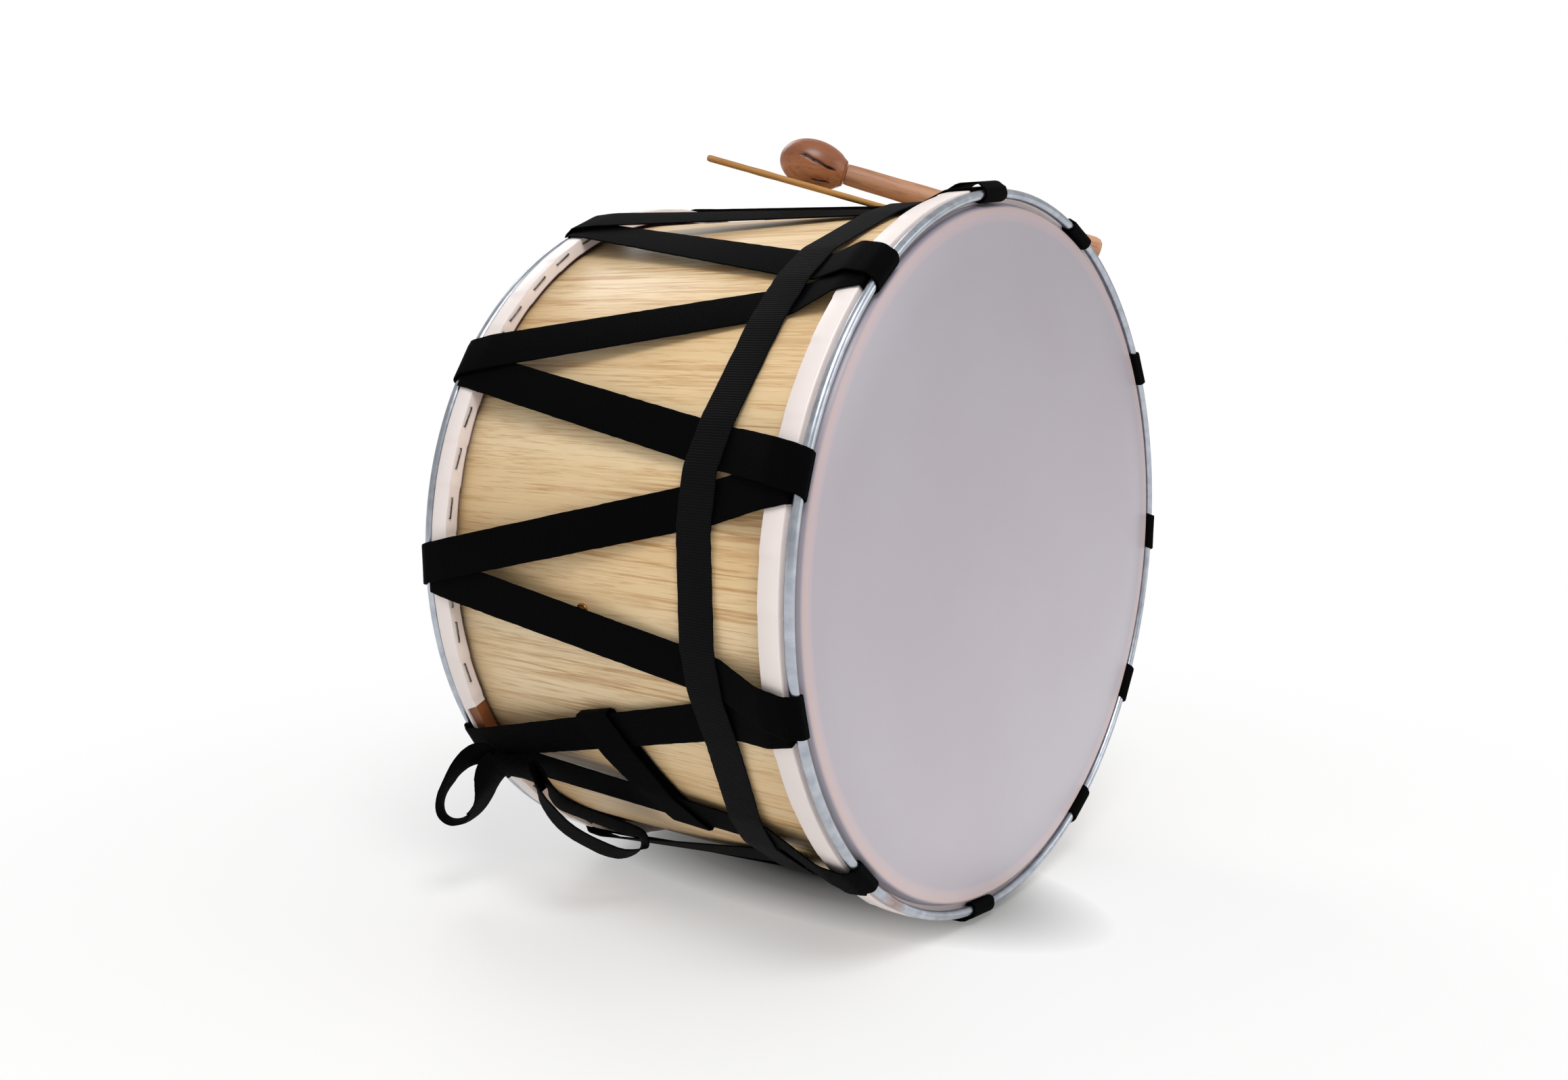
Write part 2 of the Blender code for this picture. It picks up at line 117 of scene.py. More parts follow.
def ramp(tree, value, *stops):
    node = addNode(tree, "ShaderNodeValToRGB", {"Fac": value})
    while len(node.color_ramp.elements) < len(stops):
        node.color_ramp.elements.new(0.5)
    for element, (place, code) in zip(node.color_ramp.elements, stops):
        element.position = place
        element.color = hexColour(code)
    return node.outputs["Color"]


def bump(tree, shader, height, distance, strength=1.0):
    node = addNode(tree, "ShaderNodeBump", {"Height": height, "Distance": distance * mm,
                                            "Strength": strength})
    tree.links.new(node.outputs["Normal"], shader.inputs["Normal"])


def objectPlace(tree, scale=(1, 1, 1), rotation=(0, 0, 0), centre=(0, 0, 0)):
    source = addNode(tree, "ShaderNodeTexCoord").outputs["Object"]
    moved = addNode(tree, "ShaderNodeVectorMath", {0: source, 1: centre}, operation="SUBTRACT")
    turned = addNode(tree, "ShaderNodeMapping", {"Vector": moved.outputs[0],
                                                 "Rotation": rotation}).outputs["Vector"]
    return addNode(tree, "ShaderNodeMapping", {"Vector": turned, "Scale": scale}).outputs["Vector"]


def noise(tree, place, scale, detail=4.0, roughness=0.5):
    return addNode(tree, "ShaderNodeTexNoise", {"Vector": place, "Scale": scale,
                   "Detail": detail, "Roughness": roughness}).outputs["Fac"]


def mixColours(tree, factor, a, b, blend="MIX"):
    node = addNode(tree, "ShaderNodeMix", data_type="RGBA", blend_type=blend)
    for key, value in ((0, factor), (6, a), (7, b)):
        if isinstance(value, bpy.types.NodeSocket):
            tree.links.new(value, node.inputs[key])
        else:
            node.inputs[key].default_value = value
    return node.outputs[2]


def mathNode(tree, operation, a, b=0.0, c=0.0, clamp=False):
    return addNode(tree, "ShaderNodeMath", {0: a, 1: b, 2: c}, operation=operation,
                   use_clamp=clamp).outputs[0]


def grainLines(tree, place, width, detail):
    # thin broken lines where the noise crosses its middle value
    value = noise(tree, place, 1.0, detail, 0.6)
    away = mathNode(tree, "ABSOLUTE", mathNode(tree, "SUBTRACT", value, 0.5))
    return mathNode(tree, "SUBTRACT", 1.0, mathNode(tree, "DIVIDE", away, width), clamp=True)


def paleVeneer():
    # Oak-pattern veneer, satin lacquer: figure lines 9 mm apart, pores 1.5 mm apart
    made, tree, shader = startMaterial("paleOakVeneer", Roughness=0.42, IOR=1.5)
    broad = noise(tree, objectPlace(tree, (16, 1.6, 16)), 1.0, 3.0)
    ground = ramp(tree, broad, (0.3, "#DDBB89"), (0.5, "#E6C99B"), (0.7, "#EED7AF"))
    figure = grainLines(tree, objectPlace(tree, (110, 2.6, 110)), 0.045, 6.0)
    veins = grainLines(tree, objectPlace(tree, (300, 7, 300), centre=(0.3, 0, 0.1)), 0.06, 5.0)
    pores = noise(tree, objectPlace(tree, (900, 45, 900)), 1.0, 4.0, 0.65)
    broken = ramp(tree, pores, (0.40, "#202020"), (0.62, "#FFFFFF"))
    patch = ramp(tree, noise(tree, objectPlace(tree, (30, 5, 30)), 1.0), (0.42, "#303030"),
                 (0.6, "#FFFFFF"))
    shades = ((veins, broken, 0.66, "#BC9058"), (figure, patch, 0.80, "#AE7434"))
    colour = mixColours(tree, mathNode(tree, "MULTIPLY", broken, 0.12), ground,
                        hexColour("#C49A62"))
    for line, breaks, depth, code in shades:
        amount = mathNode(tree, "MULTIPLY", mathNode(tree, "MULTIPLY", line, breaks), depth)
        colour = mixColours(tree, amount, colour, hexColour(code))
    tree.links.new(colour, shader.inputs["Base Color"])
    bump(tree, shader, pores, 0.06, 0.5)
    return made


def beechWood(name, light, middle, dark, roughness, along, pore=300):
    # Turned or bent hardwood: short flecks along the grain
    made, tree, shader = startMaterial(name, Roughness=roughness, IOR=1.5)
    place = objectPlace(tree, *along)
    broad = noise(tree, place, 22.0, 3.0)
    fine = noise(tree, place, float(pore), 4.0, 0.6)
    colour = ramp(tree, broad, (0.3, dark), (0.5, middle), (0.72, light))
    fleck = ramp(tree, fine, (0.5, "#000000"), (0.62, "#FFFFFF"))
    colour = mixColours(tree, mathNode(tree, "MULTIPLY", fleck, 0.35), colour, hexColour(dark))
    tree.links.new(colour, shader.inputs["Base Color"])
    bump(tree, shader, fine, 0.08, 0.6)
    return made


def drumFilm():
    # Milky polyester film: lilac over the hollow drum, pink where it lies on wood
    made, tree, shader = startMaterial("milkyPolyesterFilm", Roughness=0.34, IOR=1.55)
    place = objectPlace(tree, centre=(0, 0, drum["axisHeight"] * mm))
    axes = addNode(tree, "ShaderNodeSeparateXYZ", {"Vector": place}).outputs
    flat = addNode(tree, "ShaderNodeCombineXYZ", {"X": axes["X"], "Z": axes["Z"]}).outputs[0]
    rho = addNode(tree, "ShaderNodeVectorMath", {0: flat}, operation="LENGTH").outputs["Value"]
    share = mathNode(tree, "DIVIDE", rho, 0.230)
    zones = ramp(tree, share, (0.0, "#BFB9C1"), (0.9035, "#BFB9C1"), (0.909, "#CBBDC1"),
                 (0.926, "#CFC0C4"), (0.9345, "#D8BDB5"), (0.9405, "#CDBFC5"),
                 (0.9435, "#ABA5AF"), (0.9535, "#9A95A1"), (0.957, "#EDE0DC"), (1.0, "#F2E8E4"))
    # painted shade: the film over the hollow is coloured darker towards the top of the drum, where
    # less light comes through it
    height = mathNode(tree, "MULTIPLY_ADD", axes["Z"], 1 / 0.434, 0.5, clamp=True)
    shade = ramp(tree, height, (0.0, "#FFFFFF"), (0.5, "#E9E8E9"), (1.0, "#D3D1D4"))
    hollow = mathNode(tree, "LESS_THAN", share, 0.95)
    zones = mixColours(tree, hollow, zones, mixColours(tree, 1.0, zones, shade, "MULTIPLY"))
    grime = noise(tree, objectPlace(tree, (5, 5, 5)), 1.0, 5.0)
    stain = ramp(tree, grime, (0.35, "#F8F6F5"), (0.65, "#FFFFFF"))
    colour = mixColours(tree, 1.0, zones, stain, "MULTIPLY")
    tree.links.new(colour, shader.inputs["Base Color"])
    tree.links.new(mathNode(tree, "MULTIPLY_ADD", grime, 0.14, 0.28), shader.inputs["Roughness"])
    bump(tree, shader, noise(tree, objectPlace(tree), 260.0, 3.0), 0.03, 0.4)
    return made


def zincSteel():
    # Galvanised 6 mm rod: soft grey-blue spangle, rust and flux near the butt weld
    made, tree, shader = startMaterial("galvanisedRod", Metallic=1.0)
    place = objectPlace(tree)
    spangle = noise(tree, place, 120.0, 3.0)
    colour = ramp(tree, spangle, (0.3, "#A3A9B3"), (0.7, "#C2C7CF"))
    weld = origin + radial(radians(236)) * drum["ring"] - axisLine * half
    away = addNode(tree, "ShaderNodeVectorMath", {0: place, 1: tuple(weld * mm)},
                   operation="DISTANCE").outputs["Value"]
    ragged = mathNode(tree, "MULTIPLY_ADD", noise(tree, place, 120.0, 4.0), 0.012, away)
    rust = mathNode(tree, "SUBTRACT", 1.0, mathNode(tree, "DIVIDE", ragged, 0.022), clamp=True)
    colour = mixColours(tree, rust, colour, hexColour("#9A5A2C"))
    tree.links.new(colour, shader.inputs["Base Color"])
    tree.links.new(mathNode(tree, "MULTIPLY_ADD", spangle, 0.1, 0.24), shader.inputs["Roughness"])
    bump(tree, shader, spangle, 0.02, 0.4)
    return made


def wovenWebbing(name, base, edge, ribs, pitch, depth, gloss):
    # Polypropylene webbing: threads across and along, read from the strip's own millimetres
    made, tree, shader = startMaterial(name, Roughness=0.78, IOR=1.45, Specular_IOR_Level=gloss)
    uv = addNode(tree, "ShaderNodeUVMap", uv_map="strip").outputs["UV"]
    axes = addNode(tree, "ShaderNodeSeparateXYZ", {"Vector": uv}).outputs
    warp = mathNode(tree, "SINE", mathNode(tree, "MULTIPLY", axes["X"], 2 * pi / 1.1))
    weft = mathNode(tree, "SINE", mathNode(tree, "MULTIPLY", axes["Y"], 2 * pi / pitch))
    height = mathNode(tree, "ADD", mathNode(tree, "MULTIPLY", warp, 1.0 - ribs),
                      mathNode(tree, "MULTIPLY", weft, ribs))
    fuzz = noise(tree, uv, 2.2, 4.0, 0.6)
    # painted highlight: lighter where the weave's threads are raised, with random fuzz in the tone
    share = mathNode(tree, "MULTIPLY_ADD", height, 0.22, fuzz)
    tree.links.new(ramp(tree, share, (0.3, base), (0.85, edge)), shader.inputs["Base Color"])
    bump(tree, shader, height, depth)
    return made


oak = paleVeneer()
hoopWood = beechWood("steamedHoopBeech", "#A9683A", "#8E5128", "#6E3A1A", 0.6, ((1, 1, 1),))
film = drumFilm()
steel = zincSteel()
laceCloth = wovenWebbing("blackLaceWebbing", "#010102", "#070708", 0.45, 1.3, 0.12, 0.04)
beltCloth = wovenWebbing("blackRibbedBelt", "#010102", "#101013", 0.85, 1.6, 0.28, 0.12)
stapleSteel, stapleTree, stapleShader = startMaterial("stapleWire", Metallic=1.0, Roughness=0.3)
stapleShade = noise(stapleTree, objectPlace(stapleTree), 500.0)
stapleTree.links.new(ramp(stapleTree, stapleShade, (0.3, "#4A4A4E"), (0.7, "#8A8B90")),
                     stapleShader.inputs["Base Color"])
brass, brassTree, brassShader = startMaterial("oldBrassEye", Metallic=1.0, Roughness=0.35)
brassShade = noise(brassTree, objectPlace(brassTree), 400.0)
brassTree.links.new(ramp(brassTree, brassShade, (0.3, "#8A4B1E"), (0.7, "#C98A4E")),
                    brassShader.inputs["Base Color"])
print("materials ready")


# Mesh helpers
def finishPiece(name, bm, material, body="drum", replaces=(), smooth=True, merge=True):
    if merge:
        bmesh.ops.remove_doubles(bm, verts=bm.verts, dist=0.002)
    bmesh.ops.recalc_face_normals(bm, faces=bm.faces)
    if bm.calc_volume(signed=True) < 0:
        bmesh.ops.reverse_faces(bm, faces=bm.faces)
    bmesh.ops.translate(bm, vec=origin, verts=bm.verts)
    bmesh.ops.scale(bm, vec=(mm, mm, mm), verts=bm.verts)
    mesh = bpy.data.meshes.new(name)
    bm.to_mesh(mesh)
    bm.free()
    mesh.materials.append(material)
    if smooth:
        mesh.shade_smooth()
        mesh.set_sharp_from_angle(angle=radians(50))
    piece = bpy.data.objects.new(name, mesh)
    bpy.context.scene.collection.objects.link(piece)
    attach(piece, body)
    if replaces:
        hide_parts(*replaces)
    return piece


def spinProfile(profile, steps, closed=True, axis=(0, 1, 0)):
    bm = bmesh.new()
    place = (lambda r, h: (r, h, 0)) if axis[1] else (lambda r, h: (r, 0, h))
    verts = [bm.verts.new(place(r, h)) for r, h in profile]
    edges = [bm.edges.new(pair) for pair in zip(verts, verts[1:])]
    if closed:
        edges.append(bm.edges.new((verts[-1], verts[0])))
    bmesh.ops.spin(bm, geom=verts + edges, cent=(0, 0, 0), axis=axis, angle=2 * pi,
                   steps=steps, use_merge=True)
    bmesh.ops.remove_doubles(bm, verts=bm.verts, dist=0.002)
    return bm


# Cross-section of woven tape, as shares of half its width and half its thickness
tapeProfile = [(-1, 0), (-0.985, 0.7), (-0.93, 1), (0, 0.9), (0.93, 1), (0.985, 0.7),
               (1, 0), (0.985, -0.7), (0.93, -1), (0, -0.9), (-0.93, -1), (-0.985, -0.7)]


def tapeStrip(rows, width, thickness, frayed=0.0):
    # rows are (centre, normal, across); the section is extruded from row to row
    bm = bmesh.new()
    uvLayer = bm.loops.layers.uv.new("strip")
    travelled = 0.0
    places = {}

    def sectionPoints(row, number):
        centre, normal, across = row
        side = width / 2 + frayed * (wobble(number) - 0.5)
        return [centre + across * (a * side) + normal * (b * thickness / 2)
                for a, b in tapeProfile]

    loop = [bm.verts.new(p) for p in sectionPoints(rows[0], 0)]
    edges = [bm.edges.new((loop[i], loop[(i + 1) % len(loop)])) for i in range(len(loop))]
    for i, v in enumerate(loop):
        places[v] = (tapeProfile[i][0] * width / 2, 0.0)
    first = list(edges)
    for number, row in enumerate(rows[1:], 1):
        travelled += (row[0] - rows[number - 1][0]).length
        before = {tuple(v.co): i for i, v in enumerate(loop)}
        made = bmesh.ops.extrude_edge_only(bm, edges=edges)["geom"]
        fresh = [None] * len(loop)
        for v in (g for g in made if isinstance(g, bmesh.types.BMVert)):
            fresh[before[tuple(v.co)]] = v
        for i, (v, p) in enumerate(zip(fresh, sectionPoints(row, number))):
            v.co = p
            places[v] = (tapeProfile[i][0] * width / 2, travelled)
        edges = [g for g in made if isinstance(g, bmesh.types.BMEdge)]
        edges = [e for e in edges if e.verts[0] in fresh and e.verts[1] in fresh]
        loop = fresh
    if (rows[0][0] - rows[-1][0]).length > 0.01:
        bmesh.ops.contextual_create(bm, geom=first)
        bmesh.ops.contextual_create(bm, geom=edges)
    for face in bm.faces:
        for corner in face.loops:
            corner[uvLayer].uv = places[corner.vert]
    return bm


def splitRows(rows, longest):
    out = [rows[0]]
    for a, b in zip(rows, rows[1:]):
        count = max(1, int((b[0] - a[0]).length / longest + 0.999))
        for k in range(1, count + 1):
            t = k / count
            out.append((a[0].lerp(b[0], t), a[1].lerp(b[1], t), a[2].lerp(b[2], t).normalized()))
    return out


def roundRows(rows, closed=False):
    # cut each corner of the path once
    out = [] if closed else [rows[0]]
    for a, b in zip(rows, rows[1:]):
        for t in (0.25, 0.75):
            out.append(tuple(p.lerp(q, t) for p, q in zip(a, b)))
    out.append(out[0] if closed else rows[-1])
    return out


# Shell: bent veneer cylinder with eased edges
ends = half + drum["overhang"]
outside, inside = drum["shell"], drum["shell"] - drum["wall"]
shellBm = spinProfile([(inside, -ends), (outside - 1.2, -ends), (outside - 0.4, 0.35 - ends),
                       (outside, 1.2 - ends), (outside, ends - 1.2), (outside - 0.4, ends - 0.35),
                       (outside - 1.2, ends), (inside, ends)], 216)
finishPiece("veneeredShell", shellBm, oak, replaces=["shell"])

# Counter rings
rodPiece = dict(sides=14, steps=216, weldAngle=234.0)
for side, word in ((-1, "front"), (1, "rear")):
    circle = [(drum["ring"] + drum["rod"] * cos(2 * pi * k / rodPiece["sides"]),
               side * half + drum["rod"] * sin(2 * pi * k / rodPiece["sides"]))
              for k in range(rodPiece["sides"])]
    rodBm = spinProfile(circle, rodPiece["steps"])
    if side < 0:
        # upset butt weld: the rod swells and bends a little where its ends meet
        weld = radians(rodPiece["weldAngle"])
        for v in rodBm.verts:
            angle = atan2(v.co.z, v.co.x) % (2 * pi)
            near = max(0.0, 1 - abs(angle - weld) * drum["ring"] / 9)
            middle = radial(angle) * drum["ring"] + axisLine * side * half
            v.co += (v.co - middle) * 0.28 * near * (0.6 + 0.8 * wobble(angle * 40))
    finishPiece(word + "RodRing", rodBm, steel, replaces=[word + "_counter_ring"])
    # the solid hoops and inner rings stay as they are and only get their wood
    for part, wood in (("_flesh_hoop", hoopWood), ("_inner_ring", oak)):
        solidRing = frame["nodes"][word + part].data
        solidRing.materials.clear()
        solidRing.materials.append(wood)
print("shell and rings done")

# Heads: film over the bearing edge and hoop, its skirt folded round the hoop in pleats
skirt = dict(steps=720, frontPleats=38, rearPleats=52, lift=0.75)
staple = dict(crown=(13.4, 1.15, 0.5), leg=(0.6, 1.1, 1.6), legAt=6.4, ring=224.4, proud=1.35,
              bevel=0.16)


def pleatStarts(count, seed):
    return [(k + 0.18 + 0.35 * (wobble(k, seed) - 0.5)) / count for k in range(count)]


def pleatLift(angle, starts, seed):
    # each pleat rises slowly, then drops at its fold
    turnShare = (angle / (2 * pi)) % 1.0
    slot = bisect(starts, turnShare) - 1
    if slot < 0:
        turnShare += 1.0
        slot = len(starts) - 1
    stop = starts[slot + 1] if slot + 1 < len(starts) else starts[0] + 1.0
    t = (turnShare - starts[slot]) / (stop - starts[slot])
    height = 0.45 + 0.55 * wobble(slot, seed + 3)
    return height * (t ** 1.5 if t < 0.95 else (1 - t) / 0.05 * 0.93)


# Where the rear film has come away and its hoop shows
bare = dict(start=radians(205.0), stop=radians(212.0), edge=radians(0.7), back=6.5, kept=0.15)
for side, word in ((-1, "front"), (1, "rear")):
    disc = -drum["overhang"] - drum["gap"]
    face = disc - drum["film"]
    fold = drum["hoopBack"] + drum["gap"]
    lip = drum["hoopInner"] + 0.3
    rim, thin = filmRim, drum["film"]
    profile = [(0, face), (100, face), (180, face), (drum["shell"] - 1.0, face),
               (drum["shell"] + 0.75, face + 1.0), (lip, filmFace), (rim - 0.9, filmFace),
               (rim - 0.25, filmFace + 0.25), (rim, filmFace + 0.9), (rim, fold * 0.6),
               (rim, fold - 0.2), (rim - 0.3, fold + thin), (223, fold + thin), (lip, fold + thin),
               (lip, fold), (rim - thin, fold), (rim - thin, filmFace + thin),
               (lip - 0.3, filmFace + thin), (drum["shell"] + 0.35, disc + 0.9),
               (drum["shell"] - 1.1, disc), (180, disc), (0, disc)]
    headBm = spinProfile([(r, side * (half - a)) for r, a in profile], skirt["steps"], closed=False)
    pleats = skirt[word + "Pleats"]
    starts = pleatStarts(pleats, side * 5.0)
    for v in headBm.verts:
        rho = hypot(v.co.x, v.co.z)
        back = half - side * v.co.y
        if rho > 219.2 and back > 4.5:
            angle = atan2(v.co.z, v.co.x)
            lift = skirt["lift"] * pleatLift(angle, starts, side * 5.0)
            if rho > 226.9:
                v.co += radial(angle) * lift * min(1.0, max(0.0, (back - 4.5) / 3))
            elif back > 17:
                v.co -= axisLine * side * lift
            turned = angle % (2 * pi)
            bared = min(turned - bare["start"], bare["stop"] - turned) / bare["edge"] + 0.5
            if side > 0 and bared > 0 and back > bare["back"]:
                gone = (back - bare["back"]) * (1 - bare["kept"]) * min(1.0, bared)
                v.co += axisLine * side * gone
    finishPiece(word + "FilmHead", headBm, film, replaces=[word + "_head"])

    # One staple a pleat, across the folded film
    stapleBm = bmesh.new()
    for k in range(pleats):
        angle = 2 * pi * (k + 0.7 + 0.25 * (wobble(k, side * 7.0) - 0.5)) / pleats
        if side > 0 and bare["start"] < angle < bare["stop"]:
            continue
        slant = 0.16 * (wobble(k, side * 9.0) - 0.3)
        centre = radial(angle) * (staple["ring"] + wobble(k, 4.0))
        centre += axisLine * side * (half - fold - staple["proud"])
        along = (tangent(angle) + radial(angle) * slant).normalized()
        outwards = along.cross(axisLine)
        place = Matrix((along, outwards, axisLine)).transposed().to_4x4()
        place.translation = centre
        crown = place @ Matrix.Diagonal((*staple["crown"], 1))
        bmesh.ops.create_cube(stapleBm, size=1, matrix=crown)
        for end in (-1, 1):
            leg = place @ Matrix.Translation((end * staple["legAt"], 0, side * 0.9))
            leg = leg @ Matrix.Diagonal((*staple["leg"], 1))
            bmesh.ops.create_cube(stapleBm, size=1, matrix=leg)
    bmesh.ops.bevel(stapleBm, geom=stapleBm.edges[:], offset=staple["bevel"], segments=1,
                    profile=0.5, affect="EDGES", material=-1)
    finishPiece(word + "Staples", stapleBm, stapleSteel, merge=False)
print("heads and staples done")


# Lacing: eleven wraps on each ring
def wrapPaths():
    reach = drum["rod"] + 2 * webbing["seatGap"] + webbing["thickness"] / 2
    loop, seat = reach + 0.5, filmFace - webbing["seatGap"] - webbing["thickness"] / 2
    ring = drum["ring"]
    inner = [(ring, -reach), (ring - 0.71 * loop, -0.71 * loop), (ring - loop, 0),
             (ring - 0.78 * loop, 0.62 * loop), (ring - 0.48 * loop, seat), (filmRim + 0.5, seat),
             (innerLayer, seat + 0.45), (innerLayer, webbing["plateau"])]
    outer = [(ring, -reach), (ring + 0.72 * reach, -0.74 * reach), (ring + 1.16 * reach, 0),
             (outerLayer, drum["rod"]), (outerLayer, webbing["plateau"])]
    return inner, outer


innerPath, outerPath = wrapPaths()
lacing = dict(count=11, first=96.25, frontShift={4: -1.2, 5: 4.6, 6: 8.9, 7: 3.0, 10: 2.2},
              rearShift={1: 2.4, 2: 2.7, 3: 2.4, 4: 4.8}, stickLift={19: 5.9, 20: 5.6},
              rowStep=9.0, drawnIn=0.3)
beltLine = [(104.8, 58), (135.3, 62), (150.5, 64), (164.5, 72), (177.6, 68),
            (192.3, 65.5), (205.3, 62), (226.5, 75), (260, 66), (420, 60), (464.8, 58)]


def beltY(angle):
    a = angle * 180 / pi
    while a < beltLine[0][0]:
        a += 360
    while a > beltLine[-1][0]:
        a -= 360
    for (a0, y0), (a1, y1) in zip(beltLine, beltLine[1:]):
        if a <= a1:
            return y0 + (y1 - y0) * (a - a0) / (a1 - a0) - half
    return beltLine[-1][1] - half


def pathLengths(path):
    lengths = [0.0]
    for a, b in zip(path, path[1:]):
        lengths.append(lengths[-1] + hypot(b[0] - a[0], b[1] - a[1]))
    return lengths


def pathNormals(path):
    turned = []
    for a, b in zip(path, path[1:]):
        turned.append(Vector((a[1] - b[1], b[0] - a[0])).normalized())
    middle = [(a + b) / (1 + a.dot(b)) for a, b in zip(turned, turned[1:])]
    return [turned[0]] + middle + [turned[-1]]


def wrapRows(angle, side, path, slope):
    out, into = radial(angle), tangent(angle)
    rows = []
    for (rho, back), run, n in zip(path, pathLengths(path), pathNormals(path)):
        centre = out * rho + into * (slope * run) + axisLine * side * (half - back)
        rows.append((centre, out * n.x - axisLine * side * n.y, into))
    return rows


wraps = []
count = lacing["count"]
fronts = [lacing["first"] + k * 360 / count + lacing["frontShift"].get(k, 0) for k in range(count)]
for k, here in enumerate(fronts):
    after = fronts[k + 1] if k + 1 < count else fronts[0] + 360
    wraps += [(radians(here), -1), (radians((here + after) / 2 + lacing["rearShift"].get(k, 0)), 1)]
wraps.append((wraps[0][0] + 2 * pi, -1))


def lacingRun(index):
    # rows from the front wrap to the rear wrap, and the two under the belt
    start, end = wraps[index], wraps[index + 1]
    front, rear = (start, end) if start[1] < 0 else (end, start)
    frontInner = start[1] < 0
    frontPath = innerPath if frontInner else outerPath
    rearPath = outerPath if frontInner else innerPath
    lead, tail = pathLengths(frontPath)[-1], pathLengths(rearPath)[-1]
    length = lead + drum["span"] - 2 * webbing["plateau"] + tail
    swing = rear[0] - front[0]
    slope = swing * innerLayer / length

    def angleAt(y):
        return front[0] + swing * (lead + y + half - webbing["plateau"]) / length

    y = beltY(angleAt(beltY(front[0] + swing * 0.28)))
    depth = drum["shell"] + webbing["squeeze"] + (0 if frontInner else webbing["step"])
    depth += lacing["stickLift"].get(index, 0)
    flat = webbing["beltWidth"] / 2 + 0.75
    pressed = []
    for step in (-flat, flat):
        a = angleAt(y + step)
        pressed.append((radial(a) * depth + axisLine * (y + step), -radial(a), tangent(a)))
    rows = wrapRows(front[0], -1, frontPath, slope) + pressed
    rows += wrapRows(rear[0], 1, rearPath, -slope)[::-1]
    return rows, pressed, angleAt, frontInner


laceRows = []
pressedRows = []
angleOf = []
for index in range(2 * count):
    rows, pressed, angleAt, frontFirst = lacingRun(index)
    pressedRows.append(pressed)
    angleOf.append((angleAt, rows))
    rows = rows if frontFirst else rows[::-1]
    laceRows += rows if not laceRows else rows[1:]
laceRows[-1] = laceRows[0]
laceRows = roundRows(splitRows(laceRows, lacing["rowStep"]), closed=True)
laceBm = tapeStrip(laceRows, webbing["width"] - lacing["drawnIn"], webbing["thickness"], 0.35)
finishPiece("lacingWebbing", laceBm, laceCloth,
            replaces=["lacing_run_%02d" % (k + 1) for k in range(2 * count)])
print("lacing done")


def closedRing(points, nearest):
    # the points in their order, without those that nearly coincide, back to the first one
    kept = []
    for p in points:
        if not kept or (p - kept[-1]).xz.length > nearest:
            kept.append(p)
    return kept + kept[:1]


def outwardsAt(ring, k):
    ahead = (ring[k + 1] if k + 1 < len(ring) else ring[1]) - ring[k]
    behind = ring[k] - (ring[k - 1] if k > 0 else ring[-2])
    turned = [Vector((step.z, 0, -step.x)).normalized() for step in (ahead, behind)]
    return (turned[0] + turned[1]).normalized()


# Belt: pulled taut round the runs and over the beater's handle
frontCentre = Vector((0, -half, 0))
beater = dict(centre=frontCentre + Vector((20.8, 162.4, 254.4)),
              up=Vector((-0.5927, 0.7556, 0.2789)).normalized(), handle=8.0, head=16.5,
              length=49.0, reach=205.0)
lift = webbing["thickness"] + drum["gap"]
taut = []
for pressed in pressedRows:
    for centre, normal, across in pressed:
        for s in (-1, 1):
            taut.append(centre - normal * lift + across * s * webbing["width"] / 2)
sideways = beater["up"].cross(Vector((0, 0, 1))).normalized()
topways = beater["up"].cross(sideways)
beltAtHandle = beltY(radians(67.5))
for step in (-webbing["beltWidth"] / 2, 0, webbing["beltWidth"] / 2):
    y = beltAtHandle + step
    middle = beater["centre"] + beater["up"] * ((y - beater["centre"].y) / beater["up"].y)
    for k in range(24):
        p = (sideways * cos(2 * pi * k / 24) + topways * sin(2 * pi * k / 24))
        p *= beater["handle"] + drum["gap"] + webbing["thickness"] / 2
        taut.append(middle + p - beater["up"] * (p.y / beater["up"].y))
hull = [taut[k] for k in convex_hull_2d([(p.x, p.z) for p in taut])]
hull.sort(key=lambda p: (atan2(p.z, p.x) + pi / 2) % (2 * pi))
ring = closedRing(hull, 1.5)
beltRows = []
for k, p in enumerate(ring):
    centre = Vector((p.x, beltY(atan2(p.z, p.x)), p.z))
    beltRows.append((centre, outwardsAt(ring, k), axisLine))
beltRows = roundRows(splitRows(beltRows, 8.0), closed=True)
beltBm = tapeStrip(beltRows, webbing["beltWidth"], webbing["thickness"], 0.5)
finishPiece("ribbedBelt", beltBm, beltCloth, replaces=["cross_belt"])
print("belt done")

# Tie band round the two runs of the fourth rear wrap
band = dict(width=27.0, angle=radians(210.2), back=143.0 - half, slant=-0.41)


def bandY(angle):
    return band["back"] + band["slant"] * (angle - band["angle"]) * innerLayer


edge = 0.75 * webbing["thickness"] + drum["gap"] + 0.8


def legRow(index, y):
    rows = angleOf[index][1]
    spans = [(a, b) for a, b in zip(rows, rows[1:]) if a[0].y <= y <= b[0].y]
    a, b = max(spans, key=lambda pair: (pair[1][0] - pair[0][0]).length)
    t = (y - a[0].y) / (b[0].y - a[0].y)
    return [p.lerp(q, t) for p, q in zip(a, b)]


